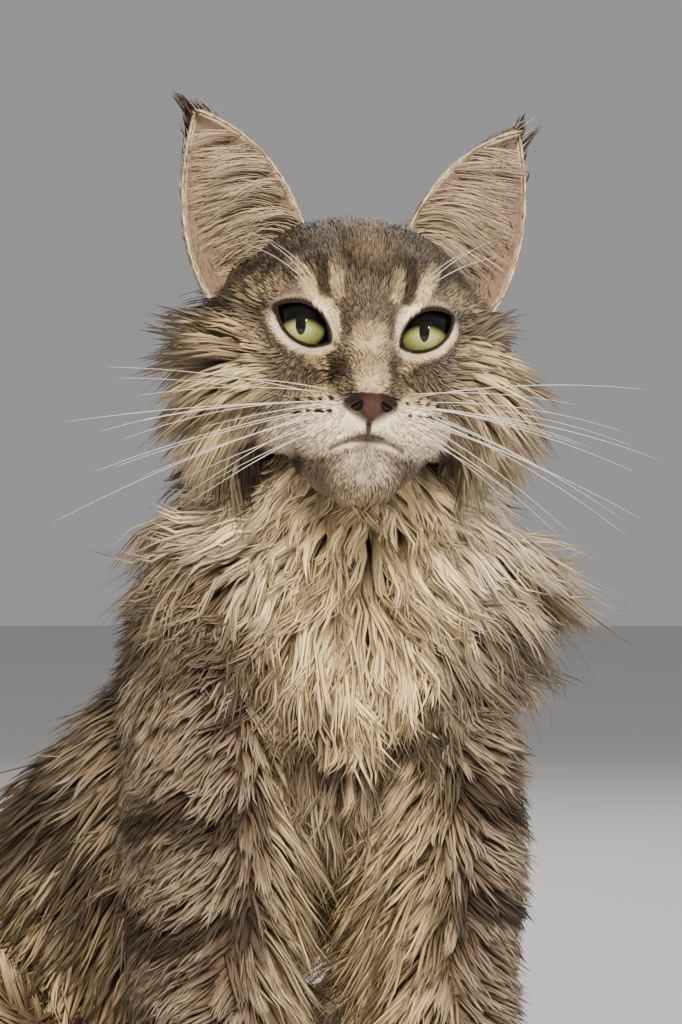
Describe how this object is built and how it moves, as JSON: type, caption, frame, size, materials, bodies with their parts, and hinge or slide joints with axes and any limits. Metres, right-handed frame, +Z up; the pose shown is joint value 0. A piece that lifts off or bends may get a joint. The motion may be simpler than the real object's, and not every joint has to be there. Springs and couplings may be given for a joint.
{
  "type": "maine coon cat",
  "caption": "Life-size still model of a Maine Coon cat sitting upright, with a brown tabby coat, a deep cream ruff and tufted ears.",
  "frame": {"origin": "on the floor, at the centre of the cat's outline seen from above", "axes": "+Z up, -Y the way the cat's chest faces, +X towards the cat's left"},
  "size_m": [0.3896, 0.4722, 0.507],
  "materials": {
    "fur": "long matte tabby coat",
    "eye": "wet and glossy",
    "nose_leather": "fine-grained and slightly moist"
  },
  "bodies": {
    "root": {"head": "fur", "nose": "nose_leather", "eye_left": "eye", "eye_right": "eye", "ear_left": "fur", "ear_right": "fur", "neck": "fur", "torso": "fur", "foreleg_left": "fur", "foreleg_right": "fur", "forepaw_left": "fur", "forepaw_right": "fur", "haunch_left": "fur", "haunch_right": "fur", "hindpaw_left": "fur", "hindpaw_right": "fur", "tail_base": "fur", "tail_middle": "fur", "tail_tip": "fur"}
  },
  "joints": []
}
